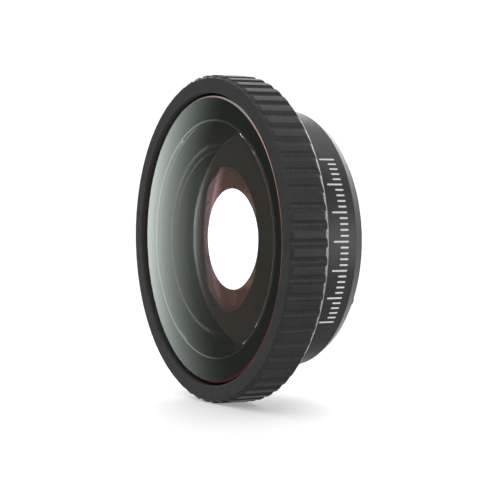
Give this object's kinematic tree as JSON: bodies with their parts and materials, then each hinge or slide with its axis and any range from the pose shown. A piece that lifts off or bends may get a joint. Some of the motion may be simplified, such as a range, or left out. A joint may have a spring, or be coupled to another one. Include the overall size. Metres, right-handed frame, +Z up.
{
  "type": "wide-view add-on lens",
  "caption": "Round add-on lens for a small camera: domed front glass in a ribbed grip ring, stubby barrel, bayonet socket with sprung click pins behind.",
  "frame": {"origin": "centre of the rear face that seats on the camera, on the lens axis", "axes": "+Y along the lens axis out of the rear of the lens, towards the camera; the front glass looks along -Y; +Z up through the index dot; +X to the right seen from the front"},
  "size_m": [0.046, 0.0169, 0.046],
  "materials": {
    "ring_anodising": "fine matte black anodising",
    "barrel_anodising": "bead-blasted dark grey anodising with bright-cut edges",
    "mount_anodising": "satin black anodising",
    "blackening": "dull optical black",
    "front_glass": "polished, green and red anti-reflection coating",
    "middle_glass": "polished, amber anti-reflection coating",
    "rear_glass": "polished, coated",
    "black_rubber": "matte",
    "screw_steel": "blackened steel",
    "pin_steel": "polished stainless steel",
    "spring_steel": "drawn spring wire",
    "red_enamel": "baked enamel",
    "white_print": "silk-screened white ink of the tick scale"
  },
  "bodies": {
    "lens_body": {"grip_ring": "ring_anodising", "front_element": "front_glass", "edge_seal": "black_rubber", "front_gasket": "black_rubber", "barrel": "barrel_anodising", "inner_baffle": "blackening", "middle_element": "middle_glass", "rear_element": "rear_glass", "aperture_stop": "blackening", "rear_retaining_ring": "blackening", "socket_seal": "black_rubber", "mount_ring": "mount_anodising", "mount_screws": "screw_steel", "index_dot": "red_enamel", "click_spring_1": "spring_steel", "click_spring_2": "spring_steel", "click_spring_3": "spring_steel"},
    "pin_1": {"click_pin_1": "pin_steel"},
    "pin_2": {"click_pin_2": "pin_steel"},
    "pin_3": {"click_pin_3": "pin_steel"}
  },
  "joints": [
    {"name": "pin_1_press", "type": "slide", "parent": "lens_body", "child": "pin_1", "axis": [0, -1, 0], "range_m": [0, 0.00045], "stiffness_N_per_m": 300, "springref_m": -0.001, "deforming": ["click_spring_1"]},
    {"name": "pin_2_press", "type": "slide", "parent": "lens_body", "child": "pin_2", "axis": [0, -1, 0], "range_m": [0, 0.00045], "stiffness_N_per_m": 300, "springref_m": -0.001, "deforming": ["click_spring_2"]},
    {"name": "pin_3_press", "type": "slide", "parent": "lens_body", "child": "pin_3", "axis": [0, -1, 0], "range_m": [0, 0.00045], "stiffness_N_per_m": 300, "springref_m": -0.001, "deforming": ["click_spring_3"]}
  ]
}
